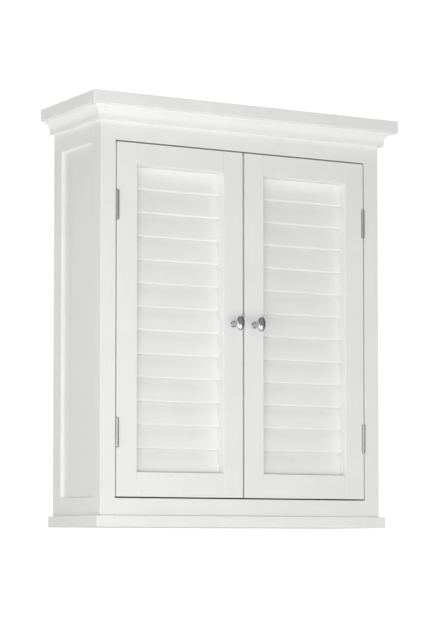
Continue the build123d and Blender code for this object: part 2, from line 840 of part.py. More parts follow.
# ---------------------------------------------------------------- assembly
def case_parts():
    """Every node of the fixed case."""
    dowel_bores = dowel_bars(dowel_radius + screw_fit, dowel_length + 4 * slip)
    base_bores = [base_screw.bore(*place) for place in base_screw_places()]
    block_bores = [block_screw.bore(*place) for place in block_screw_places()]
    frame_bores = dowel_bores + cam_bores() + base_bores
    top_span = (opening_top, case_top)
    bottom_span = (case_bottom, opening_bottom)
    parts = {}
    for name, side in SIDES.items():
        leaf_bores = [small_screw.bore(*place) for place in frame_leaf_screw_places(side)]
        parts[f"{name}_front_post"] = post(side, (face, front_post_back), frame_bores + leaf_bores)
        parts[f"{name}_back_post"] = post(side, (back_post_front, 0), frame_bores)
        parts[f"{name}_side_top_rail"] = side_rail(side, (side_opening_top, case_top), dowel_bores)
        parts[f"{name}_side_bottom_rail"] = side_rail(side, (case_bottom, side_opening_bottom), dowel_bores)
        parts[f"{name}_side_panel"] = side_panel(side)
        parts[f"{name}_cove_moulding"] = cove_side(side)
        parts[f"{name}_hinge_frame_leaves"] = [frame_leaf(side, level) for level in hinge_levels]
    parts["front_cove_moulding"] = cove_front()
    parts["front_top_rail"] = front_rail(top_span, dowel_bores + cam_bores())
    parts["front_bottom_rail"] = front_rail(bottom_span, cam_bores())
    parts["top_cap"] = top_cap(block_bores)
    parts["base_board"] = base_board(base_bores)
    parts["floor_board"] = floor_board()
    parts["floor_battens"] = floor_battens()
    parts["back_panel"] = back_panel()
    hanging = (case_top - hanging_rail_height, case_top)
    lower = (case_bottom, case_bottom + lower_rail_height)
    parts["hanging_rail"] = back_rail(hanging, wall_screw_holes() + dowel_bores)
    parts["lower_back_rail"] = back_rail(lower, dowel_bores)
    parts["corner_blocks"] = corner_blocks()
    parts["corner_block_screws"] = [block_screw.at(*place) for place in block_screw_places()]
    parts["base_screws"] = [base_screw.at(*place) for place in base_screw_places()]
    parts["dowels"] = dowel_bars(dowel_radius, dowel_length)
    parts["cam_locks"] = [cam_lock(*place) for place in cam_places()]
    parts["cam_bolts"] = [cam_bolt(side, z, 0) for side, z in cam_places()]
    parts["back_panel_pins"] = [panel_pin(place) for place in panel_pin_places()]
    parts["shelf_pins"] = shelf_pins()
    parts["catch_block"] = catch_block()
    parts["catch_housing"] = catch_housing()
    parts["catch_magnets"] = [magnet_space(side, 0) for side in SIDES.values()]
    parts["hinge_pins"] = [hinge_pin(side, level) for side in SIDES.values() for level in hinge_levels]
    screws = catch_screw_places()
    for side in SIDES.values():
        screws = screws + frame_leaf_screw_places(side)
    parts["hinge_and_catch_screws"] = [small_screw.at(*place) for place in screws]
    return parts


def door_parts(name, side):
    """Every node of one door."""
    bottom, top = door_rail_levels()
    screws = door_leaf_screw_places(side) + [strike_screw_place(side)]
    return {
        f"{name}_door_hinge_stile": hinge_stile(side),
        f"{name}_door_meeting_stile": meeting_stile(side),
        f"{name}_door_top_rail": door_rail(side, top),
        f"{name}_door_bottom_rail": door_rail(side, bottom),
        f"{name}_door_slats": slats(side),
        f"{name}_door_hinge_leaves": [door_leaf(side, level) for level in hinge_levels],
        f"{name}_door_screws": [small_screw.at(*place) for place in screws],
        f"{name}_door_strike_plate": strike_plate(side),
        f"{name}_door_knob": knob(side),
        f"{name}_door_knob_screw": knob_screw(side),
    }


def write(name, shape):
    """STEP file of one node, a list being a group of separate solids."""
    if isinstance(shape, list):
        shape = Compound(children=[solid for piece in shape for solid in piece.solids()])
    shape.label = name
    export_step(shape, f"parts/{name}.step")


os.makedirs("parts", exist_ok=True)
nodes = case_parts()
nodes["shelf"] = shelf()
for side_name, side_sign in SIDES.items():
    nodes.update(door_parts(side_name, side_sign))
for node_name, node_shape in nodes.items():
    write(node_name, node_shape)
print(len(nodes), "nodes written")
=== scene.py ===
"""Looks of a small hanging wall cabinet with louvred doors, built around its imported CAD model.

Places are metres in the CAD frame: the origin is on the wall between the two wall screws, +X runs
to the right, +Y into the wall and +Z up. Sizes in the classes below are millimetres.
"""

import logging
import math
from collections.abc import Sequence
from dataclasses import dataclass
from enum import Enum

import bmesh
import bpy
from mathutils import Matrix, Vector

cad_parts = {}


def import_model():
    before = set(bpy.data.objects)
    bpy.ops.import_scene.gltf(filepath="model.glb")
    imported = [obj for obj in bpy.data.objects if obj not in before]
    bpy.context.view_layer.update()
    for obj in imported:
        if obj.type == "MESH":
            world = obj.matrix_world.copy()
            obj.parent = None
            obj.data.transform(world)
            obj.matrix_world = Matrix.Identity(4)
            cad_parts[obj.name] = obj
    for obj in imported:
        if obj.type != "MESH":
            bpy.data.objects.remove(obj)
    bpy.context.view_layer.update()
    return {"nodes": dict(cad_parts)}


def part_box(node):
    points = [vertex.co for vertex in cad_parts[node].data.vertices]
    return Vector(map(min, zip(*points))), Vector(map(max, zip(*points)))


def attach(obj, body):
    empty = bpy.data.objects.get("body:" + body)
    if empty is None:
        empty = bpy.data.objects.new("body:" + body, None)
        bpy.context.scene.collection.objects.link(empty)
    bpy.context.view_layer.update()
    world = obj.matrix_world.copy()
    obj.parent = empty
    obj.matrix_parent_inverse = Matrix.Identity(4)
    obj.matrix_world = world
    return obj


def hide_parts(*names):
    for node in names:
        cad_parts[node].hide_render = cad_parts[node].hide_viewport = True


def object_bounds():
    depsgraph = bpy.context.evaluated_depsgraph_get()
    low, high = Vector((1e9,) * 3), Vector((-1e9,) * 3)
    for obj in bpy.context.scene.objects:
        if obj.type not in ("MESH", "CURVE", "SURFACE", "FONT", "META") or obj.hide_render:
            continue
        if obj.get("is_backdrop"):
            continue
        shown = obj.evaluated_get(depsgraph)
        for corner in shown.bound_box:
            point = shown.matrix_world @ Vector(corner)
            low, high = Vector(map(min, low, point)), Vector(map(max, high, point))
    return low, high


MM = 0.001
FULL = (0.0, 1.0)
CLOUD_LEVELS = (0.3, 0.7)  # nearly all of a noise pattern lies between these
SHARP_DEGREES = 35.0
WELD_MM = 0.01
log = logging.getLogger("wall_cabinet")
Nodes = dict[str, bpy.types.Object]
Link = bpy.types.NodeSocket | bpy.types.Node
Mesh = bpy.types.Mesh
Material = bpy.types.Material
Colour = tuple[float, float, float, float]


class Grain(Enum):
    """Which way the fibres and the brush strokes of a board run."""

    ACROSS = 0
    DEPTH = 1
    UPRIGHT = 2


class Side(Enum):
    """A side of the cabinet, with the sign of its X."""

    LEFT = -1
    RIGHT = 1

    @property
    def word(self) -> str:
        """The side's name as the CAD nodes spell it."""
        return self.name.lower()

    @property
    def door(self) -> str:
        """The door on this side, a CAD body."""
        return f"{self.word}_door"


# ---- shared tools
def linear(code: str) -> Colour:
    """Turns an sRGB hex colour into linear light.

    Args:
        code: The colour, such as "#f2f1ee".

    Returns:
        Red, green, blue and an alpha of one.
    """
    parts = [int(code[i:i + 2], 16) / 255 for i in (1, 3, 5)]
    light = [p / 12.92 if p <= 0.04045 else ((p + 0.055) / 1.055) ** 2.4 for p in parts]
    return (*light, 1.0)


def add_node(tree: bpy.types.NodeTree, kind: str, settings: dict | None = None,
             inputs: dict | None = None) -> bpy.types.Node:
    """Adds one node with its settings and its links.

    Args:
        tree: The shader or geometry tree that gets the node.
        kind: The node's type name.
        settings: Properties to set on the node.
        inputs: What goes into its sockets, by name or number: a socket or a node's first output
            to link, a list of them for a socket that takes several, or a plain value.

    Returns:
        The new node.
    """
    node = tree.nodes.new(kind)
    for name, value in (settings or {}).items():
        setattr(node, name, value)
    for key, value in (inputs or {}).items():
        if isinstance(key, int):
            socket = node.inputs[key]
        else:
            socket = next(s for s in node.inputs if s.name == key and s.enabled)
        for item in value if isinstance(value, list) else [value]:
            if isinstance(item, bpy.types.Node):
                item = next(s for s in item.outputs if s.enabled)
            if isinstance(item, bpy.types.NodeSocket):
                tree.links.new(item, socket)
            else:
                socket.default_value = item
    return node


def add_piece(name: str, mesh: Mesh, body: str, nodes: list[str]) -> None:
    """Puts a finished mesh on its body in place of CAD nodes.

    Args:
        name: The piece's name.
        mesh: Its mesh, already in place.
        body: The CAD body that it rides on.
        nodes: The CAD nodes that it stands for.
    """
    mesh.name = name
    piece = bpy.data.objects.new(name, mesh)
    bpy.context.scene.collection.objects.link(piece)
    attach(piece, body)
    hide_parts(*nodes)
    log.info("%s on %s: %d faces, stands for %s", name, body, len(mesh.polygons), ", ".join(nodes))


def skin(shape: bmesh.types.BMesh, loops: list[list[bmesh.types.BMVert]]) -> None:
    """Joins each closed loop of points to the next one with faces."""
    for near, far in zip(loops, loops[1:]):
        for i in range(len(near)):
            j = (i + 1) % len(near)
            shape.faces.new((near[i], near[j], far[j], far[i]))


def free_mesh(shape: bmesh.types.BMesh, name: str) -> Mesh:
    """Turns a closed shape's faces outwards and ends it as a mesh."""
    bmesh.ops.recalc_face_normals(shape, faces=shape.faces)
    mesh = bpy.data.meshes.new(name)
    shape.to_mesh(mesh)
    shape.free()
    return mesh


def soften(mesh: Mesh, sharp_degrees: float = SHARP_DEGREES) -> Mesh:
    """Shades a mesh smooth and keeps its real edges sharp."""
    mesh.shade_smooth()
    mesh.set_sharp_from_angle(angle=math.radians(sharp_degrees))
    return mesh


# ---- finishes
class Surface:
    """A material while it is made: its tree and its object coordinates."""

    def __init__(self, name: str) -> None:
        """Starts an empty material tree."""
        self.material = bpy.data.materials.new(name)
        self.material.use_nodes = True
        self.tree = self.material.node_tree
        self.tree.nodes.clear()
        self.place = add_node(self.tree, "ShaderNodeTexCoord").outputs["Object"]

    def pattern(self, feature_mm: Sequence[float], detail: float = 2.0) -> Link:
        """Cloudy variation whose features have a real size along each axis.

        Args:
            feature_mm: The size of one feature along X, Y and Z.
            detail: How many finer layers it has.

        Returns:
            A value from 0 to 1.
        """
        scale = tuple(1 / (size * MM) for size in feature_mm)
        stretched = add_node(self.tree, "ShaderNodeMapping", None,
                             {"Vector": self.place, "Scale": scale})
        noise = add_node(self.tree, "ShaderNodeTexNoise", None,
                         {"Vector": stretched, "Scale": 1.0, "Detail": detail})
        return noise.outputs["Fac"]

    def two_tone(self, pattern: Link, plain: Colour | Link,
                 other: Colour | Link, levels: tuple[float, float] = CLOUD_LEVELS,
                 most: float = 1.0) -> Link:
        """Goes from one colour to another as a pattern rises.

        Args:
            pattern: The pattern.
            plain: The colour below the levels.
            other: The colour above the levels.
            levels: Where in the pattern the change starts and ends.
            most: How much of the other colour comes in at most.

        Returns:
            The colour.
        """
        amount = add_node(self.tree, "ShaderNodeMapRange", {"clamp": True},
                          {"Value": pattern, "From Min": levels[0], "From Max": levels[1],
                           "To Min": 0.0, "To Max": most})
        mixed = add_node(self.tree, "ShaderNodeMix", {"data_type": "RGBA"},
                         {"Factor": amount, "A": plain, "B": other})
        return mixed

    def coat(self, colour: Link, sheen: Link,
             roughness: tuple[float, float], reliefs: list[tuple[Link, float]],
             sockets: dict[str, float], levels: tuple[float, float] = CLOUD_LEVELS
             ) -> Material:
        """Ends the tree in a shader with a varying roughness and a relief.

        Args:
            colour: The colour.
            sheen: The pattern that the roughness follows.
            roughness: The roughness at the two levels.
            reliefs: Patterns that stand up off the surface, the coarser first, with their depths in
                millimetres.
            sockets: Values that are the same all over, by socket.
            levels: Where in the sheen's pattern the roughness starts and ends.

        Returns:
            The finished material.
        """
        rough = add_node(self.tree, "ShaderNodeMapRange", {"clamp": True},
                         {"Value": sheen, "From Min": levels[0], "From Max": levels[1],
                          "To Min": roughness[0], "To Max": roughness[1]})
        inputs = {"Base Color": colour, "Roughness": rough, **sockets}
        for height, depth_mm in reliefs:
            under = {"Normal": inputs["Normal"]} if "Normal" in inputs else {}
            bump = add_node(self.tree, "ShaderNodeBump", None,
                            {"Height": height, "Distance": depth_mm * MM, "Strength": 1.0, **under})
            inputs["Normal"] = bump
        shader = add_node(self.tree, "ShaderNodeBsdfPrincipled", None, inputs)
        add_node(self.tree, "ShaderNodeOutputMaterial", None, {"Surface": shader})
        return self.material


def along(grain: Grain, length: float, width: float) -> list[float]:
    """Feature sizes of a streak that is long along the grain and narrow across it."""
    return [length if axis == grain.value else width for axis in range(3)]


@dataclass(frozen=True)
class SatinPaint:
    """Sprayed white satin lacquer on fibre board.

    It gives the eye a soft, slightly broken highlight over an even white: a fine orange peel from
    the spray gun, and faint streaks along the board where sanding marks show through. Real peel
    and marks are half as wide, and are drawn this coarse so that they show.
    """

    grain: Grain
    name: str = "satin_lacquer"
    white: str = "#f1f1f0"
    shadow_white: str = "#ededec"
    cloud_mm: float = 55.0
    peel_mm: float = 1.6
    peel_depth_mm: float = 0.010
    streak_mm: tuple[float, float] = (140.0, 1.8)
    streak_depth_mm: float = 0.018
    streak_levels: tuple[float, float] = (0.45, 0.75)
    roughness: tuple[float, float] = (0.36, 0.46)

    def make(self) -> Material:
        """Builds the paint for one direction of the grain."""
        surface = Surface(f"{self.name}_{self.grain.name.lower()}")
        clouds = surface.pattern((self.cloud_mm,) * 3)
        streaks = surface.pattern(along(self.grain, *self.streak_mm), 3.0)
        peel = surface.pattern((self.peel_mm,) * 3, 1.0)
        shadow = linear(self.shadow_white)
        base = surface.two_tone(clouds, linear(self.white), shadow)
        colour = surface.two_tone(streaks, base, shadow, self.streak_levels, 0.5)
        reliefs = [(streaks, self.streak_depth_mm), (peel, self.peel_depth_mm)]
        return surface.coat(colour, clouds, self.roughness, reliefs, {"IOR": 1.5})


@dataclass(frozen=True)
class CoatedHardboard:
    """Thin hardboard, white coated inside and raw behind.

    The inside is an even white with a low sheen. The back is brown and shows the press screen's
    fine mesh.
    """

    white: str = "#f1f1ef"
    fibre: str = "#8a6848"
    dark_fibre: str = "#6f5238"
    fibre_mm: tuple[float, float, float] = (2.5, 2.5, 6.0)
    raw_depth_mm: tuple[float, float] = (0.4, 0.2)
    screen_mm: float = 32.0
    screen_depth_mm: float = 0.12
    roughness: tuple[float, float] = (0.45, 0.85)

    def make(self) -> Material:
        """Builds both faces, told apart by their depth in the cabinet."""
        surface = Surface("white_coated_hardboard")
        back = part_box("back_panel")[1].y
        depth = add_node(surface.tree, "ShaderNodeSeparateXYZ", None, {0: surface.place})
        start, end = (back - skin * MM for skin in self.raw_depth_mm)
        raw = add_node(surface.tree, "ShaderNodeMapRange", {"clamp": True},
                       {"Value": depth.outputs["Y"], "From Min": start, "From Max": end})
        fibres = surface.pattern(self.fibre_mm, 6.0)
        brown = surface.two_tone(fibres, linear(self.fibre), linear(self.dark_fibre))
        height = raw
        for axis in ("X", "Z"):
            wave = add_node(surface.tree, "ShaderNodeTexWave",
                            {"wave_type": "BANDS", "bands_direction": axis},
                            {"Vector": surface.place, "Scale": 1 / (self.screen_mm * MM)})
            height = add_node(surface.tree, "ShaderNodeMath", {"operation": "MULTIPLY"},
                              {0: wave.outputs["Fac"], 1: height})
        colour = surface.two_tone(raw, linear(self.white), brown, FULL)
        return surface.coat(colour, raw, self.roughness, [(height, self.screen_depth_mm)],
                            {"IOR": 1.5}, FULL)


@dataclass(frozen=True)
class PlanedBeech:
    """Planed, unfinished beech.

    Pale warm wood with short dark flecks along the grain and slow bands of colour.
    """

    grain: Grain
    pale: str = "#d9b48a"
    warm: str = "#c79a6b"
    fleck: str = "#a3744a"
    band_mm: tuple[float, float] = (160.0, 7.0)
    fleck_mm: tuple[float, float] = (4.0, 0.5)
    fleck_levels: tuple[float, float] = (0.58, 0.72)
    fleck_depth_mm: float = 0.05
    roughness: tuple[float, float] = (0.55, 0.68)

    def make(self) -> Material:
        """Builds the wood for one direction of the grain."""
        surface = Surface(f"planed_beech_{self.grain.name.lower()}")
        bands = surface.pattern(along(self.grain, *self.band_mm), 4.0)
        flecks = surface.pattern(along(self.grain, *self.fleck_mm), 1.0)
        wood = surface.two_tone(bands, linear(self.pale), linear(self.warm))
        colour = surface.two_tone(flecks, wood, linear(self.fleck), self.fleck_levels, 0.7)
        return surface.coat(colour, bands, self.roughness, [(flecks, self.fleck_depth_mm)],
                            {"IOR": 1.5})


@dataclass(frozen=True)
class DenseFinish:
    """A dense, even surface: colour and gloss drift in clouds over fine marks along the height."""

    name: str
    colour: str
    cloud_colour: str
    roughness: tuple[float, float]
    cloud_mm: float
    mark_mm: tuple[float, float] = (1.0, 1.0)
    mark_depth_mm: float = 0.0
    detail: float = 2.0
    metal: bool = False
    ior: float = 1.5

    def make(self) -> Material:
        """Builds the finish; a metal keeps the shader's own IOR."""
        surface = Surface(self.name)
        clouds = surface.pattern((self.cloud_mm,) * 3, self.detail)
        marks = surface.pattern(along(Grain.UPRIGHT, *self.mark_mm), self.detail)
        colour = surface.two_tone(clouds, linear(self.colour), linear(self.cloud_colour))
        reliefs = [(marks, self.mark_depth_mm)] if self.mark_depth_mm else []
        return surface.coat(colour, clouds, self.roughness, reliefs,
                            {"Metallic": 1.0} if self.metal else {"IOR": self.ior})


@dataclass(frozen=True)
class MouldedPlastic:
    """Injection moulded polypropylene.

    White and faintly see-through at the edges, with the fine spark texture of its mould.
    """

    white: str = "#ecebe8"
    cloud_white: str = "#dfddd8"
    cloud_mm: float = 12.0
    texture_mm: float = 0.7
    texture_depth_mm: float = 0.02
    roughness: tuple[float, float] = (0.4, 0.52)

    def make(self) -> Material:
        """Builds the plastic."""
        surface = Surface("moulded_polypropylene")
        texture = surface.pattern((self.texture_mm,) * 3)
        clouds = surface.pattern((self.cloud_mm,) * 3)
        colour = surface.two_tone(clouds, linear(self.white), linear(self.cloud_white), most=0.3)
        sockets = {"IOR": 1.49, "Subsurface Weight": 0.1, "Subsurface Scale": 2.0 * MM}
        return surface.coat(colour, texture, self.roughness, [(texture, self.texture_depth_mm)],
                            sockets)


class Finishes:
    """Every material of the cabinet, made once."""

    def __init__(self) -> None:
        """Makes the materials from their real kinds."""
        self.paint = {grain: SatinPaint(grain).make() for grain in Grain}
        # The slats get a lighter copy of the same white paint: painted light that brightens them
        # against the shade of their recess between the stiles and rails.
        self.slat_paint = SatinPaint(Grain.ACROSS, "dipped_lacquer", "#f4f4f3", "#f0f0ef").make()
        self.beech = {grain: PlanedBeech(grain).make() for grain in Grain}
        self.hardboard = CoatedHardboard().make()
        self.plastic = MouldedPlastic().make()
        # Chrome mirrors the room with hardly a mark.
        self.chrome = DenseFinish("polished_chrome_plating", "#c0c2c5", "#b8babe", (0.05, 0.09),
                                  6.0, (9.0, 0.6), 0.001, metal=True).make()
        # Nickel on stamped steel is a warmer grey and blurs the room with fine rolling marks.
        self.nickel = DenseFinish("nickel_plated_steel", "#b2b1b0", "#a8a7a6", (0.34, 0.44),
                                  3.0, (14.0, 0.5), 0.004, metal=True).make()
        # Zinc is bluish and cloudy.
        self.zinc = DenseFinish("bright_zinc_plating", "#c5c9cd", "#aab0b6", (0.3, 0.45),
                                1.5, (4.0, 0.6), 0.006, metal=True).make()
        # Pressed magnet ceramic is near black, with a dull gleam on ground faces and tiny pits.
        self.ferrite = DenseFinish("sintered_ferrite", "#2c2b2d", "#3b3a3c", (0.38, 0.6),
                                   0.6, (0.6, 0.6), 0.04, detail=3.0, ior=2.3).make()
        # The studio floor is matt, and so pale that only the cabinet draws the eye.
        self.floor = DenseFinish("matt_studio_floor", "#f4f4f3", "#f1f1f0", (0.85, 0.92),
                                 400.0, ior=1.45).make()


# ---- geometry trees
class ShapeTree:
    """A geometry node tree with named inputs, run once into a plain mesh."""

    def __init__(self, name: str, sockets: dict[str, str]) -> None:
        """Starts the tree.

        Args:
            name: The tree's name.
            sockets: The input sockets' types, by input name.
        """
        self.tree = bpy.data.node_groups.new(name, "GeometryNodeTree")
        face = self.tree.interface
        face.new_socket("Geometry", in_out="OUTPUT", socket_type="NodeSocketGeometry")
        face.new_socket("Geometry", in_out="INPUT", socket_type="NodeSocketGeometry")
        for socket, kind in {**sockets, "Finish": "Material"}.items():
            face.new_socket(socket, in_out="INPUT", socket_type=f"NodeSocket{kind}")
        self.given = self.add("NodeGroupInput").outputs

    def add(self, kind: str, settings: dict | None = None,
            inputs: dict | None = None) -> bpy.types.Node:
        """Adds one node to this tree."""
        return add_node(self.tree, kind, settings, inputs)

    def close(self, geometry: Link) -> None:
        """Ends the tree in real geometry with its finish on."""
        real = self.add("GeometryNodeRealizeInstances", None, {"Geometry": geometry})
        dressed = self.add("GeometryNodeSetMaterial", None,
                           {"Geometry": real, "Material": self.given["Finish"]})
        self.add("NodeGroupOutput", None, {0: dressed})

    def run(self, values: dict, start: Mesh | None = None) -> Mesh:
        """Evaluates the tree.

        Args:
            values: What goes into the named inputs.
            start: The mesh that the tree starts from, if it needs one.

        Returns:
            The result as a plain mesh.
        """
        holder = bpy.data.objects.new("holder", start or bpy.data.meshes.new("holder"))
        bpy.context.scene.collection.objects.link(holder)
        modifier = holder.modifiers.new("shape", "NODES")
        modifier.node_group = self.tree
        for item in self.tree.interface.items_tree:
            if item.in_out == "INPUT" and item.name in values:
                modifier[item.identifier] = values[item.name]
        graph = bpy.context.evaluated_depsgraph_get()
        mesh = bpy.data.meshes.new_from_object(holder.evaluated_get(graph), depsgraph=graph)
        holder.modifiers.remove(modifier)
        bpy.data.objects.remove(holder)
        return mesh


# ---- turned and set fasteners
@dataclass(frozen=True)
class CrossRecess:
    """The driver's cross in a screw head, narrower at its floor."""

    wing: float
    width: float
    depth: float
    floor_share: float = 0.55

    def outline(self, share: float) -> list[tuple[float, float]]:
        """Corners of the cross, made smaller by a share."""
        far, near = self.wing / 2 * share, self.width / 2 * share
        arm = [(far, -near), (far, near), (near, near)]
        corners = []
        for _ in range(4):
            corners += arm
            arm = [(-y, x) for x, y in arm]
        return corners


@dataclass(frozen=True)
class TurnedPart:
    """A small part turned about its own axis, with its outer end at zero and facing +Z.

    The profile runs from the rim of the flat outer face inwards, as (radius, height) pairs.
    """

    profile: tuple[tuple[float, float], ...]
    recess: CrossRecess | None = None
    segments: int = 24

    def recess_faces(self, shape: bmesh.types.BMesh, rim: list) -> None:
        """Closes the outer face round the cross and builds the cross down into the head."""
        top = rim[0].co.z
        mouth, floor = ([shape.verts.new((x * MM, y * MM, height))
                         for x, y in self.recess.outline(share)]
                        for share, height in ((1.0, top), (self.recess.floor_share,
                                                           top - self.recess.depth * MM)))
        edges = [shape.edges.new((mouth[i - 1], mouth[i])) for i in range(len(mouth))]
        edges += [shape.edges.get((rim[i - 1], rim[i])) for i in range(len(rim))]
        bmesh.ops.triangle_fill(shape, use_beauty=True, edges=edges, normal=(0, 0, 1))
        skin(shape, [mouth, floor])
        shape.faces.new(floor)

    def mesh(self, name: str) -> Mesh:
        """Turns the part into a closed mesh."""
        shape = bmesh.new()
        steps = [2 * math.pi * i / self.segments for i in range(self.segments)]
        rings = [[shape.verts.new((radius * MM * math.cos(a), radius * MM * math.sin(a),
                                   height * MM)) for a in steps] for radius, height in self.profile]
        skin(shape, rings)
        shape.faces.new(rings[-1])
        if self.recess:
            self.recess_faces(shape, rings[0])
        else:
            shape.faces.new(rings[0])
        return soften(free_mesh(shape, name))


@dataclass(frozen=True)
class WoodScrew:
    """A countersunk wood screw with rolled threads, by its radii, countersink and length."""

    shank: float
    head: float
    head_depth: float
    length: float
    rim: float = 0.15
    pitch_share: float = 0.9
    root_share: float = 0.72
    crest_share: float = 0.97
    flank_share: float = 0.35
    tip_radius: float = 0.12
    cross_shares: tuple[float, float, float] = (1.15, 0.3, 0.62)

    def turned(self) -> TurnedPart:
        """Works out its profile and its cross."""
        pitch, root = self.pitch_share * self.shank, self.root_share * self.shank
        flank, tip = self.flank_share * pitch, 2 * self.shank
        profile = [(self.head, 0.0), (self.head, -self.rim), (root, -self.head_depth)]
        level = -self.head_depth - 0.8 * pitch
        while level > tip - self.length:
            profile += [(root, level + flank), (self.crest_share * self.shank, level),
                        (root, level - flank)]
            level -= pitch
        profile += [(0.8 * root, tip / 2 - self.length), (self.tip_radius, -self.length)]
        wing, width, depth = self.cross_shares
        return TurnedPart(tuple(profile), CrossRecess(wing * self.head, width * self.head,
                                                      depth * self.head_depth))


@dataclass(frozen=True)
class PanelPin:
    """A thin pin with a small domed head."""

    head: float = 1.6
    dome: tuple[tuple[float, float], ...] = ((0.6, 0.0), (0.9, -0.15), (1.0, -0.4), (1.0, -0.6))
    neck: float = 0.75
    shank: float = 0.7
    point: float = 2.0
    point_radius: float = 0.1
    length: float = 12.6
    segments: int = 12

    def turned(self) -> TurnedPart:
        """Works out its profile."""
        dome = tuple((share * self.head, level) for share, level in self.dome)
        return TurnedPart(dome + ((self.shank, -self.neck), (self.shank, self.point - self.length),
                                  (self.point_radius, -self.length)), segments=self.segments)


@dataclass(frozen=True)
class Seat:
    """Where one fastener sits: the middle of its outer face and the way that it faces."""

    point: Vector
    facing: Vector


def shells(node: bpy.types.Object) -> list[list[Vector]]:
    """Splits a CAD node's mesh into its separate shells.

    Args:
        node: The CAD node's object.

    Returns:
        The points of each shell, in the order of their lowest corners.
    """
    keys = [tuple(round(c / (WELD_MM * MM)) for c in vertex.co) for vertex in node.data.vertices]
    above = {key: key for key in keys}

    def first(key: tuple) -> tuple:
        """Follows a point to the first one of its shell."""
        while above[key] != key:
            above[key] = above[above[key]]
            key = above[key]
        return key

    for face in node.data.polygons:
        start = first(keys[face.vertices[0]])
        for corner in face.vertices[1:]:
            above[first(keys[corner])] = start
    groups: dict[tuple, list[Vector]] = {}
    for key, vertex in zip(keys, node.data.vertices):
        groups.setdefault(first(key), []).append(vertex.co.copy())
    return sorted(groups.values(), key=lambda points: min(tuple(p) for p in points))


def seats(node: bpy.types.Object, end_share: float = 0.04) -> list[Seat]:
    """Reads where the fasteners of a CAD node sit; the wide end of each is its outer end.

    Args:
        node: The CAD node's object.
        end_share: How much of a fastener's length counts as its end.

    Returns:
        One seat for each fastener.
    """
    found = []
    for points in shells(node):
        low, high = (Vector([pick(p[k] for p in points) for k in range(3)]) for pick in (min, max))
        middle, size = (low + high) / 2, high - low
        axis = max(range(3), key=lambda k: size[k])
        across = [k for k in range(3) if k != axis]
        reach = {}
        for sign, end in ((-1, low), (1, high)):
            near = [p for p in points if abs(p[axis] - end[axis]) < end_share * size[axis]]
            reach[sign] = max(math.hypot(*(p[k] - middle[k] for k in across)) for p in near)
        sign = max(reach, key=reach.get)
        point, facing = middle.copy(), Vector((0, 0, 0))
        point[axis], facing[axis] = (high if sign > 0 else low)[axis], sign
        found.append(Seat(point, facing))
    return found


@dataclass
class FastenerSet:
    """Fasteners of one kind, set by a tree in the places of a CAD node."""

    part: TurnedPart
    seed: int = 7
    spin_degrees: float = 180.0

    def tree(self) -> ShapeTree:
        """Builds the tree that sets a part on every point, aimed outwards and turned at random."""
        shape = ShapeTree("set_fasteners", {"Part": "Object", "Most Turn": "Float", "Seed": "Int"})
        aim = shape.add("GeometryNodeInputNamedAttribute", {"data_type": "FLOAT_VECTOR"},
                        {"Name": "facing"})
        facing = shape.add("FunctionNodeAlignRotationToVector", {"axis": "Z"}, {"Vector": aim})
        turn = shape.add("FunctionNodeRandomValue", {"data_type": "FLOAT"},
                         {"Min": 0.0, "Max": shape.given["Most Turn"], "Seed": shape.given["Seed"]})
        about = shape.add("FunctionNodeAxisAngleToRotation", None,
                          {"Axis": (0.0, 0.0, 1.0), "Angle": turn})
        rotation = shape.add("FunctionNodeRotateRotation", {"rotation_space": "LOCAL"},
                             {"Rotation": facing, "Rotate By": about})
        part = shape.add("GeometryNodeObjectInfo", None, {"Object": shape.given["Part"]})
        placed = shape.add("GeometryNodeInstanceOnPoints", None,
                           {"Points": shape.given["Geometry"], "Instance": part.outputs["Geometry"],
                            "Rotation": rotation})
        shape.close(placed)
        return shape

    def build(self, name: str, node: bpy.types.Object, finish: Material) -> Mesh:
        """Sets the parts.

        Args:
            name: The mesh's name.
            node: The CAD node whose places they take.
            finish: Their material.

        Returns:
            One mesh with all of them.
        """
        places = seats(node)
        points = bpy.data.meshes.new("seats")
        points.from_pydata([seat.point for seat in places], [], [])
        facing = points.attributes.new("facing", "FLOAT_VECTOR", "POINT")
        facing.data.foreach_set("vector", [c for seat in places for c in seat.facing])
        part = bpy.data.objects.new("part", self.part.mesh(name))
        mesh = self.tree().run({"Part": part, "Most Turn": math.radians(self.spin_degrees),
                                "Seed": self.seed, "Finish": finish}, points)
        bpy.data.objects.remove(part)
        return mesh


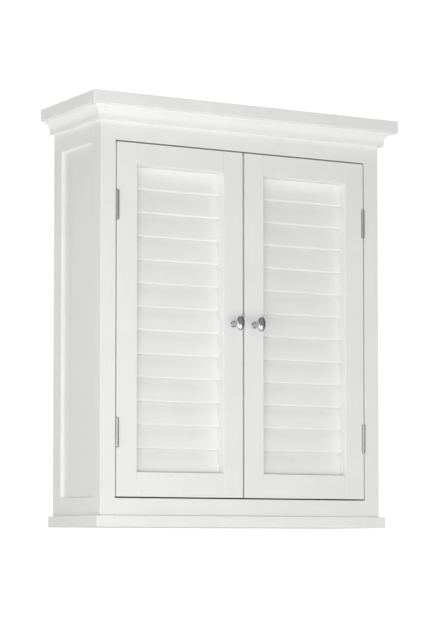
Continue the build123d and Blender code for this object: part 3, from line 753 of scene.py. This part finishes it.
# ---- louvres
@dataclass
class Louvre:
    """The tilted slats of one door, each nose forward and its top behind the next one."""

    side: Side
    count: int = 13
    thickness: float = 4.0
    recess: float = 12.5
    overlap: float = 4.0
    back_margin: float = 0.5
    housing: float = 3.9
    nose: float = 2.6
    arris: float = 0.3
    slip: float = 0.1

    def opening(self) -> tuple[Vector, Vector]:
        """Lowest front and highest back corner of the space between the stiles and the rails."""
        door = self.side.door
        stiles = sorted((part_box(f"{door}_{which}_stile") for which in ("hinge", "meeting")),
                        key=lambda pair: pair[0].x)
        bottom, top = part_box(f"{door}_bottom_rail")[1].z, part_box(f"{door}_top_rail")[0].z
        return (Vector((stiles[0][1].x, stiles[0][0].y, bottom)),
                Vector((stiles[1][0].x, stiles[0][1].y, top)))

    def blank(self, shape: ShapeTree, width: Link) -> Link:
        """Makes one slat on its nose edge: a section with a round nose, swept along its length.

        Args:
            shape: The tree.
            width: The slat's width.

        Returns:
            The slat, tilted, with its lower front edge on the X axis.
        """
        given = shape.given
        section = shape.add("GeometryNodeCurvePrimitiveQuadrilateral", {"mode": "RECTANGLE"},
                            {"Width": given["Thickness"], "Height": width})
        corner = shape.add("GeometryNodeInputPosition")
        reach = shape.add("ShaderNodeVectorMath", {"operation": "DOT_PRODUCT"},
                          {0: corner, 1: (1.0, 1.0, 0.0)})
        limit = shape.add("ShaderNodeMath", {"operation": "MULTIPLY"}, {0: width, 1: -0.5})
        is_nose = shape.add("FunctionNodeCompare", {"data_type": "FLOAT", "operation": "LESS_THAN"},
                            {"A": reach, "B": limit})
        radius = shape.add("GeometryNodeSwitch", {"input_type": "FLOAT"},
                           {"Switch": is_nose, "False": given["Arris"], "True": given["Nose"]})
        rounded = shape.add("GeometryNodeFilletCurve", {"mode": "POLY"},
                            {"Curve": section, "Count": 6, "Radius": radius, "Limit Radius": True})
        size = shape.add("ShaderNodeCombineXYZ", None, {"X": given["Thickness"], "Y": width})
        halves = shape.add("ShaderNodeVectorMath", {"operation": "SCALE"}, {0: size, "Scale": 0.5})
        cornered = shape.add("GeometryNodeTransform", None,
                             {"Geometry": rounded, "Translation": halves})
        end = shape.add("ShaderNodeCombineXYZ", None, {"Z": given["Length"]})
        line = shape.add("GeometryNodeCurvePrimitiveLine", None, {"End": end})
        swept = shape.add("GeometryNodeCurveToMesh", None,
                          {"Curve": line, "Profile Curve": cornered, "Fill Caps": True})
        upright = shape.add("GeometryNodeTransform", None,
                            {"Geometry": swept, "Rotation": (math.pi / 2, 0.0, math.pi / 2)})
        return shape.add("GeometryNodeTransform", None,
                         {"Geometry": upright, "Rotation": given["Lean"]})

    def tree(self) -> ShapeTree:
        """Builds the tree: a column of equal slats and a narrower one on top."""
        shape = ShapeTree("louvre_slats", {
            "Slats": "Int", "Pitch": "Float", "Length": "Float", "Thickness": "Float",
            "Width": "Float", "Top Width": "Float", "Nose": "Float", "Arris": "Float",
            "Lean": "Vector", "Lowest Edge": "Vector", "Top Edge": "Vector"})
        given = shape.given
        step = shape.add("ShaderNodeCombineXYZ", None, {"Z": given["Pitch"]})
        column = shape.add("GeometryNodeMeshLine", {"mode": "OFFSET"},
                           {"Count": given["Slats"], "Start Location": given["Lowest Edge"],
                            "Offset": step})
        slats = shape.add("GeometryNodeInstanceOnPoints", None,
                          {"Points": column, "Instance": self.blank(shape, given["Width"])})
        last = shape.add("GeometryNodeTransform", None,
                         {"Geometry": self.blank(shape, given["Top Width"]),
                          "Translation": given["Top Edge"]})
        shape.close(shape.add("GeometryNodeJoinGeometry", None, {"Geometry": [slats, last]}))
        return shape

    def build(self, finishes: Finishes) -> None:
        """Makes the slats of this door and puts them on it."""
        low, high = self.opening()
        pitch = (high.z - low.z) / MM / self.count
        room = (high.y - low.y) / MM - self.back_margin - self.recess
        run = pitch + self.overlap
        tilt = math.acos(self.thickness / math.hypot(room, run)) - math.atan2(run, room)
        drop = self.thickness * math.sin(tilt)
        start = Vector((low.x - self.housing * MM, low.y + self.recess * MM,
                        low.z + (drop + self.slip) * MM))
        top = start + Vector((0, 0, (self.count - 1) * pitch * MM))
        full, short = (rise / math.cos(tilt) * MM for rise in (run - drop,
                                                               pitch - 2 * self.slip - drop))
        # The slats wear the lightened copy of the white paint, painted light against the shade of
        # their recess.
        mesh = self.tree().run({
            "Slats": self.count - 1, "Pitch": pitch * MM,
            "Length": high.x - low.x + 2 * self.housing * MM, "Thickness": self.thickness * MM,
            "Width": full, "Top Width": short, "Nose": self.nose * MM, "Arris": self.arris * MM,
            "Lean": (-tilt, 0.0, 0.0), "Lowest Edge": start, "Top Edge": top,
            "Finish": finishes.slat_paint})
        door = self.side.door
        add_piece(f"{door}_louvre", soften(mesh), door, [f"{door}_slats"])


# ---- cornice
@dataclass
class Cove:
    """The hollow moulding under the cap, mitred at the front corners.

    The hollow runs from a thin lip under the cap down to a flat foot on the frame.
    """

    projection: float = 15.0
    lip: float = 1.5
    foot_projection: float = 7.0
    foot: float = 3.5
    height: float = 18.5
    hollow: float = 2.4
    arris: float = 0.4
    lip_break: tuple[float, float] = (0.28, 0.16)
    steps: int = 20

    def profile(self) -> list[tuple[float, float]]:
        """Outward and downward distances of the section, from the wall of the frame and back."""
        start = (self.projection, self.lip)
        slope = (self.foot_projection - start[0], self.height - self.foot - start[1])
        length = math.hypot(*slope)
        points = [(0.0, 0.0), (self.projection, 0.0), (self.projection, self.lip - self.arris),
                  (self.projection - self.lip_break[0], self.lip + self.lip_break[1])]
        for i in range(1, self.steps + 1):
            share = i / self.steps
            bow = self.hollow * 4 * share * (1 - share) / length
            points.append((start[0] + slope[0] * share - slope[1] * bow,
                           start[1] + slope[1] * share + slope[0] * bow))
        return points + [(self.foot_projection, self.height - self.arris),
                         (self.foot_projection - self.arris, self.height), (0.0, self.height)]

    def stations(self) -> dict[str, list]:
        """Where each length starts and ends: its corner, and which way the section grows there."""
        (left, front, _), (_, wall, _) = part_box("left_front_post")[0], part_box("left_back_post")[1]
        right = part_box("right_front_post")[1].x
        wall_left, corner_left = ((left, wall), (-1, 0)), ((left, front), (-1, -1))
        wall_right, corner_right = ((right, wall), (1, 0)), ((right, front), (1, -1))
        return {"left": [wall_left, corner_left], "front": [corner_left, corner_right],
                "right": [corner_right, wall_right]}

    def length_mesh(self, name: str, ends: list, finish: Material) -> Mesh:
        """Makes one length between two stations, closed at both mitres.

        Args:
            name: The mesh's name.
            ends: Its two stations.
            finish: Its paint.

        Returns:
            The length in its place.
        """
        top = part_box("top_cap")[0].z
        shape = bmesh.new()
        loops = [[shape.verts.new((x + grow_x * out * MM, y + grow_y * out * MM, top - down * MM))
                  for out, down in self.profile()] for (x, y), (grow_x, grow_y) in ends]
        skin(shape, loops)
        for loop in loops:
            shape.faces.new(loop)
        mesh = free_mesh(shape, name)
        mesh.materials.append(finish)
        return soften(mesh)

    def build(self, finishes: Finishes) -> None:
        """Makes the three lengths and puts them on the case."""
        for which, ends in self.stations().items():
            grain = Grain.ACROSS if which == "front" else Grain.DEPTH
            mesh = self.length_mesh(f"{which}_cove", ends, finishes.paint[grain])
            add_piece(f"{which}_cove", mesh, "case", [f"{which}_cove_moulding"])


# ---- knobs
@dataclass
class OvalKnob:
    """An upright oval knob: round foot, waisted neck and a crowned head with a rolled rim."""

    side: Side
    foot_radius: float = 5.0
    foot_thickness: float = 1.6
    foot_round: float = 0.7
    foot_angles: tuple[float, ...] = (0.5, 1.0, math.pi / 2)
    shoulder_share: float = 0.55
    neck_base: float = 3.9
    neck_steps_in: tuple[float, float] = (0.35, 0.5)
    neck_power: float = 2.2
    waist: float = 2.7
    flare: float = 0.6
    flare_start: float = 0.7
    head_width: float = 12.5
    head_height: float = 22.0
    head_thickness: float = 6.5
    rim: float = 2.6
    crown: float = 0.9
    crown_shares: tuple[float, ...] = (0.9, 0.75, 0.55, 0.35, 0.15)
    neck_steps: int = 14
    rim_steps: int = 10
    segments: int = 64
    sharp_degrees: float = 50.0

    def stem(self, back: float) -> list[tuple[float, float, float]]:
        """Rings of the foot and the neck, up to the back of the head."""
        foot, shoulder = self.foot_thickness, self.shoulder_share
        rings = [(self.foot_radius, 0.0), (self.foot_radius, foot * shoulder)]
        rings += [(self.foot_radius - self.foot_round * (1 - math.cos(a)),
                   foot * (shoulder + (1 - shoulder) * math.sin(a)))
                  for a in self.foot_angles]
        step, inset = self.neck_steps_in
        rings += [(self.neck_base, foot), (self.neck_base - step, foot + 0.5)]
        start, end = foot + 1.0, back - 0.6
        for i in range(self.neck_steps + 1):
            share = i / self.neck_steps
            narrowing = (1 - share) ** self.neck_power
            flaring = (max(0.0, share - self.flare_start) / (1 - self.flare_start)) ** 2
            rings.append((self.waist + (self.neck_base - inset - self.waist) * narrowing
                          + self.flare * flaring, start + (end - start) * share))
        under = self.waist + self.flare
        return [(r, r, out) for r, out in rings] + [(under + 0.5, under + 0.8, back - 0.05)]

    def head(self, back: float, face: float) -> list[tuple[float, float, float]]:
        """Rings of the head, round its rolled rim and up its crown."""
        half_w, half_h = self.head_width / 2, self.head_height / 2
        rings = [(half_w - self.rim, half_h - self.rim, back)]
        quarter = [math.pi / 2 * i / self.rim_steps for i in range(self.rim_steps + 1)]
        for a in quarter[1:]:
            inset = self.rim * (1 - math.sin(a))
            rings.append((half_w - inset, half_h - inset, back + self.rim * (1 - math.cos(a))))
        for a in quarter:
            inset = self.rim * (1 - math.cos(a))
            rings.append((half_w - inset, half_h - inset, face - self.rim * (1 - math.sin(a))))
        return rings + [((half_w - self.rim) * share, (half_h - self.rim) * share,
                         face + self.crown * (1 - share * share)) for share in self.crown_shares]

    def build(self, finishes: Finishes) -> None:
        """Makes the knob and puts it on its door."""
        door = self.side.door
        low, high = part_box(f"{door}_knob")
        middle, reach = (low + high) / 2, (high.y - low.y) / MM
        back = reach - self.head_thickness
        angles = [2 * math.pi * i / self.segments for i in range(self.segments)]
        shape = bmesh.new()
        loops = [[shape.verts.new((middle.x + half_w * MM * math.cos(a), high.y - out * MM,
                                   middle.z + half_h * MM * math.sin(a))) for a in angles]
                 for half_w, half_h, out in self.stem(back) + self.head(back, reach - self.crown)]
        skin(shape, loops)
        shape.faces.new(loops[0])
        pole = shape.verts.new((middle.x, low.y, middle.z))
        for i in range(self.segments):
            shape.faces.new((loops[-1][i - 1], loops[-1][i], pole))
        mesh = free_mesh(shape, f"{door}_oval_knob")
        mesh.materials.append(finishes.chrome)
        add_piece(f"{door}_oval_knob", soften(mesh, self.sharp_degrees), door,
                  [f"{door}_knob"])


# ---- sub-assemblies
def dress(nodes: Nodes, prefix: str, kept: dict[str, Material]) -> None:
    """Gives CAD nodes that stay as they are their finishes.

    Args:
        nodes: The CAD nodes' objects, by name.
        prefix: What their names start with.
        kept: The finishes, each under the rest of the names that take it.
    """
    for names, finish in kept.items():
        for name in names.split():
            for place in nodes[prefix + name].material_slots:
                place.material = finish


@dataclass
class Door:
    """A framed door with its louvre, knob, hinge leaves, strike plate and screws."""

    side: Side
    leaf_screw: WoodScrew = WoodScrew(1.5, 2.7, 1.3, 12.0)

    def dress(self, nodes: Nodes, finishes: Finishes) -> None:
        """Gives the CAD parts that stay their finishes."""
        kept = {"hinge_stile meeting_stile": finishes.paint[Grain.UPRIGHT],
                "top_rail bottom_rail": finishes.paint[Grain.ACROSS],
                "hinge_leaves strike_plate": finishes.nickel, "knob_screw": finishes.zinc}
        dress(nodes, f"{self.side.door}_", kept)

    def build(self, nodes: Nodes, finishes: Finishes) -> None:
        """Makes this door's own pieces."""
        door = self.side.door
        Louvre(self.side).build(finishes)
        OvalKnob(self.side).build(finishes)
        screws = FastenerSet(self.leaf_screw.turned(), seed=11 + self.side.value)
        mesh = screws.build(f"{door}_cross_screws", nodes[f"{door}_screws"], finishes.nickel)
        add_piece(f"{door}_cross_screws", mesh, door, [f"{door}_screws"])


@dataclass
class Case:
    """The carcass: posts, rails, panels, cap, base, back and everything that holds them."""

    base_screw: WoodScrew = WoodScrew(2.0, 4.0, 2.4, 40.0)
    block_screw: WoodScrew = WoodScrew(1.75, 3.5, 2.1, 30.0)
    small_screw: WoodScrew = WoodScrew(1.5, 2.7, 1.3, 12.0)
    panel_pin: PanelPin = PanelPin()

    def dress(self, nodes: Nodes, finishes: Finishes) -> None:
        """Gives the CAD parts that stay their finishes."""
        boards = ("front_top_rail front_bottom_rail top_cap base_board floor_board hanging_rail "
                  "lower_back_rail catch_block")
        kept = {boards: finishes.paint[Grain.ACROSS], "back_panel": finishes.hardboard,
                "dowels floor_battens": finishes.beech[Grain.DEPTH],
                "corner_blocks": finishes.beech[Grain.UPRIGHT],
                "cam_locks cam_bolts": finishes.zinc, "shelf_pins hinge_pins": finishes.nickel,
                "catch_housing": finishes.plastic, "catch_magnets": finishes.ferrite}
        dress(nodes, "", kept)
        for side in Side:
            dress(nodes, f"{side.word}_", {
                "front_post back_post side_panel": finishes.paint[Grain.UPRIGHT],
                "side_top_rail side_bottom_rail": finishes.paint[Grain.DEPTH],
                "hinge_frame_leaves": finishes.nickel})

    def build(self, nodes: Nodes, finishes: Finishes) -> None:
        """Makes the case's own pieces."""
        Cove().build(finishes)
        sets = {"base_screws": (self.base_screw, finishes.zinc, "zinc"),
                "corner_block_screws": (self.block_screw, finishes.zinc, "zinc"),
                "hinge_and_catch_screws": (self.small_screw, finishes.nickel, "nickel"),
                "back_panel_pins": (self.panel_pin, finishes.zinc, "zinc")}
        for seed, (node, (part, finish, slot)) in enumerate(sets.items()):
            fasteners = FastenerSet(part.turned(), seed=seed)
            add_piece(f"{node}_set", fasteners.build(f"{node}_set", nodes[node], finish), "case",
                      [node])


# ---- studio
def direction(azimuth: float, elevation: float) -> Vector:
    """The way towards a place round the cabinet, with azimuth 0 straight in front."""
    turn, rise = math.radians(azimuth), math.radians(elevation)
    return Vector((math.sin(turn) * math.cos(rise), -math.cos(turn) * math.cos(rise),
                   math.sin(rise)))


@dataclass(frozen=True)
class Softbox:
    """One soft rectangular light, placed round the middle of the cabinet's front."""

    name: str
    azimuth: float
    elevation: float
    distance: float
    width: float
    height: float
    power: float

    def build(self, aim: Vector) -> None:
        """Hangs the light and turns it to its aim."""
        way = direction(self.azimuth, self.elevation)
        lamp = bpy.data.lights.new(self.name, "AREA")
        lamp.shape, lamp.size, lamp.size_y = "RECTANGLE", self.width, self.height
        lamp.energy = self.power
        holder = bpy.data.objects.new(self.name, lamp)
        holder.location = aim + way * self.distance
        holder.rotation_mode = "QUATERNION"
        holder.rotation_quaternion = way.to_track_quat("Z", "Y")
        holder.visible_camera = False
        bpy.context.scene.collection.objects.link(holder)


@dataclass(frozen=True)
class CeilingPanel:
    """A wide white ceiling light: it makes the floor pale, and the floor lights what faces down."""

    strength: float = 1.7
    spread_degrees: float = 40.0

    def build(self) -> None:
        """Hangs the light straight overhead."""
        lamp = bpy.data.lights.new("ceiling_panel", "SUN")
        lamp.energy, lamp.angle = self.strength, math.radians(self.spread_degrees)
        holder = bpy.data.objects.new("ceiling_panel", lamp)
        bpy.context.scene.collection.objects.link(holder)


@dataclass
class Studio:
    """A pale floor, a white backdrop, soft lights and the camera."""

    floor_level: float = -3.0
    floor_radius: float = 18.0
    ambient: float = 0.09
    dome: float = 0.34
    dome_azimuth: float = 0.0
    dome_elevation: float = -22.0
    dome_edges: tuple[float, float] = (80.0, 40.0)
    backdrop: float = 1.05
    camera_place: tuple[float, float, float] = (-1.6609, -3.0435, -0.5899)
    camera_yaw: float = 29.133
    camera_pitch: float = 3.244
    camera_lens: float = 129.79
    camera_sensor: float = 36.0
    camera_clip: tuple[float, float] = (0.1, 60.0)
    camera_shift: float = 0.15
    lights: tuple[Softbox, ...] = (
        Softbox("key_softbox", 8.0, -9.0, 2.8, 0.65, 0.65, 6.3),
        Softbox("front_fill", -33.0, -14.0, 2.2, 1.6, 1.2, 21.5),
        Softbox("left_bank", -80.0, -4.0, 2.3, 1.4, 1.8, 12.5),
        Softbox("back_wash", 178.0, 12.0, 2.4, 1.8, 1.4, 22.0),
    )
    ceiling: CeilingPanel = CeilingPanel()

    def build_world(self) -> None:
        """Lights the room with a wide soft dome in front, before a white backdrop."""
        world = bpy.data.worlds.new("white_studio")
        world.use_nodes = True
        tree = world.node_tree
        tree.nodes.clear()
        way = add_node(tree, "ShaderNodeTexCoord").outputs["Generated"]
        facing = add_node(tree, "ShaderNodeVectorMath", {"operation": "DOT_PRODUCT"},
                          {0: way, 1: direction(self.dome_azimuth, self.dome_elevation)})
        rim, full = (math.cos(math.radians(edge)) for edge in self.dome_edges)
        room = add_node(tree, "ShaderNodeMapRange", {"interpolation_type": "SMOOTHSTEP"},
                        {"Value": facing.outputs["Value"], "From Min": rim, "From Max": full,
                         "To Min": self.ambient, "To Max": self.ambient + self.dome})
        path = add_node(tree, "ShaderNodeLightPath")
        strength = add_node(tree, "ShaderNodeMapRange", None,
                            {"Value": path.outputs["Is Camera Ray"], "To Min": room,
                             "To Max": self.backdrop})
        background = add_node(tree, "ShaderNodeBackground", None,
                              {"Color": (1.0, 1.0, 1.0, 1.0), "Strength": strength})
        add_node(tree, "ShaderNodeOutputWorld", None, {"Surface": background})
        bpy.context.scene.world = world

    def build_floor(self, finish: Material) -> None:
        """Lays the round floor, which isn't part of the cabinet."""
        shape = bmesh.new()
        bmesh.ops.create_circle(shape, cap_ends=True, segments=96, radius=self.floor_radius)
        mesh = bpy.data.meshes.new("studio_floor")
        shape.to_mesh(mesh)
        shape.free()
        mesh.materials.append(finish)
        floor = bpy.data.objects.new("studio_floor", mesh)
        floor.location.z = self.floor_level
        bpy.context.scene.collection.objects.link(floor)
        floor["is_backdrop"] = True

    def build_camera(self) -> None:
        """Sets up the camera to the left of the cabinet, a little below its middle."""
        lens = bpy.data.cameras.new("studio_camera")
        lens.lens, lens.sensor_width = self.camera_lens, self.camera_sensor
        lens.shift_y = self.camera_shift
        lens.clip_start, lens.clip_end = self.camera_clip
        camera = bpy.data.objects.new("studio_camera", lens)
        camera.location = self.camera_place
        camera.rotation_euler = (math.radians(90.0 + self.camera_pitch), 0.0,
                                 math.radians(-self.camera_yaw))
        bpy.context.scene.collection.objects.link(camera)
        bpy.context.scene.camera = camera

    def build(self, finishes: Finishes) -> None:
        """Builds the whole studio round the cabinet."""
        bpy.context.scene.view_settings.view_transform = "Standard"
        low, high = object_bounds()
        self.build_world()
        self.build_floor(finishes.floor)
        self.ceiling.build()
        for light in self.lights:
            light.build((low + high) / 2)
        self.build_camera()
        log.info("studio: %d lights, floor at %.2f m", len(self.lights), self.floor_level)


def main() -> None:
    """Builds the cabinet's looks round its CAD frame."""
    logging.basicConfig(level=logging.INFO, format="%(name)s: %(message)s")
    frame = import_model()
    nodes = frame["nodes"]
    finishes = Finishes()
    Studio().build(finishes)
    case = Case()
    case.dress(nodes, finishes)
    case.build(nodes, finishes)
    for side in Side:
        door = Door(side)
        door.dress(nodes, finishes)
        door.build(nodes, finishes)
    dress(nodes, "", {"shelf": finishes.paint[Grain.ACROSS]})


if __name__ == "__main__":
    main()
